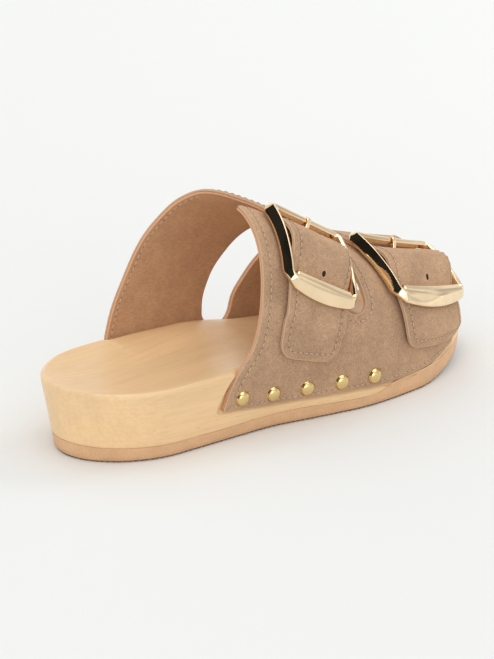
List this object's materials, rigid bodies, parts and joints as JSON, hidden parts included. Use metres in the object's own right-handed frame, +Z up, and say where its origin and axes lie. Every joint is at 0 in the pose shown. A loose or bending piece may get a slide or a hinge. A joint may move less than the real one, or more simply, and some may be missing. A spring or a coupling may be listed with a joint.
{
  "type": "mule",
  "caption": "Right-foot mule with a contoured wooden sole, a thin outsole, an open toe and back, and a suede upper of two straps held by large metal buckles.",
  "frame": {"origin": "on the floor, on the flat underside of the outsole, halfway along the shoe", "axes": "+X to the lateral side of this right shoe, +Y to the toe, +Z up"},
  "size_m": [0.097, 0.2493, 0.105],
  "materials": {
    "beech": "satin clear varnish over fine grain",
    "tread_rubber": "matt moulded crepe-coloured rubber",
    "suede": "taupe suede, brushed nap, with a tan leather lining",
    "pale_gold": "polished pale gold plate",
    "stud_brass": "polished yellow brass"
  },
  "bodies": {
    "root": {"outsole": "tread_rubber", "wood_sole": "beech", "upper": "suede", "rear_keeper": "suede", "rear_buckle": "pale_gold", "rear_prong": "pale_gold", "front_keeper": "suede", "front_buckle": "pale_gold", "front_prong": "pale_gold", "lateral_stud_1": "stud_brass", "lateral_stud_2": "stud_brass", "lateral_stud_3": "stud_brass", "lateral_stud_4": "stud_brass", "lateral_stud_5": "stud_brass", "medial_stud_1": "stud_brass", "medial_stud_2": "stud_brass", "medial_stud_3": "stud_brass", "medial_stud_4": "stud_brass", "medial_stud_5": "stud_brass"}
  },
  "joints": []
}
